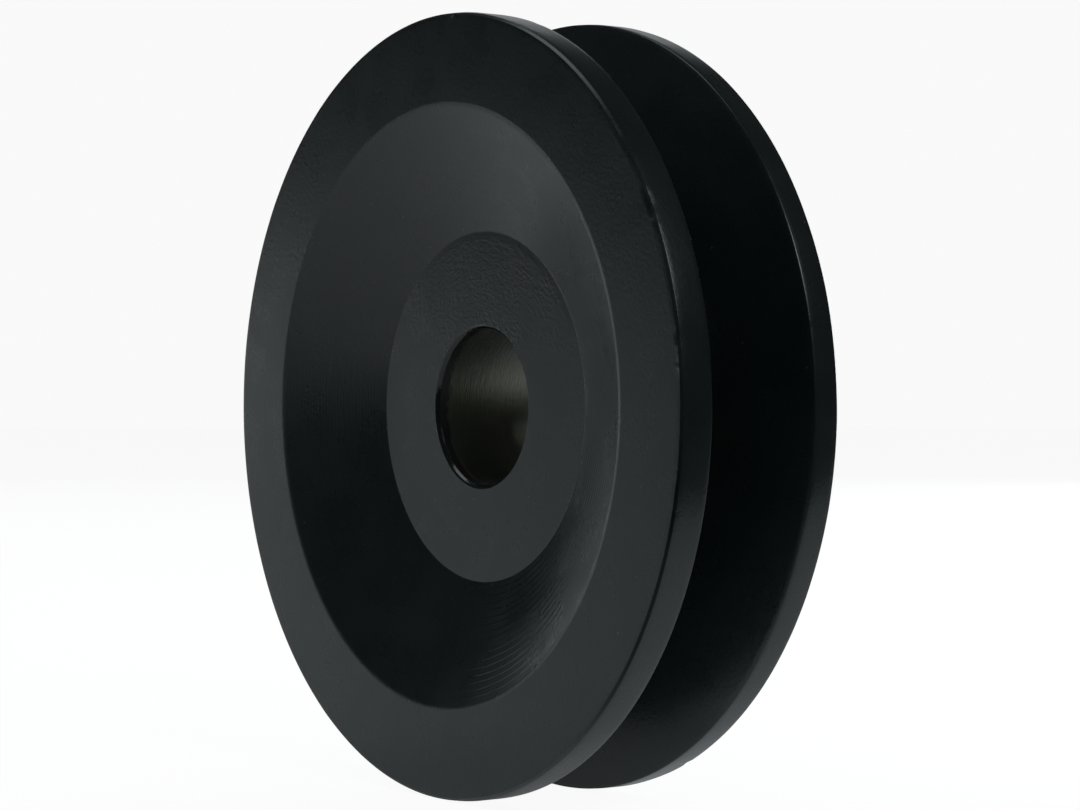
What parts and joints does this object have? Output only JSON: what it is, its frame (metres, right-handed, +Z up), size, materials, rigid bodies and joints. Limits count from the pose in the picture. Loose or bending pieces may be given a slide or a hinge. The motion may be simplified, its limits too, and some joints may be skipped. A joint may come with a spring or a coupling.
{
  "type": "v belt pulley",
  "caption": "Single-groove V-belt pulley turned in one piece, with a dished front recess, a plain through bore and a short rear hub boss.",
  "frame": {"origin": "on the bore axis, in the centre plane of the belt groove", "axes": "+Y along the bore axis from the dished front towards the rear hub boss; +Z up"},
  "size_m": [0.084, 0.022, 0.084],
  "materials": {
    "black_coating": "satin black coating over turned steel"
  },
  "bodies": {
    "root": {"pulley": "black_coating"}
  },
  "joints": []
}
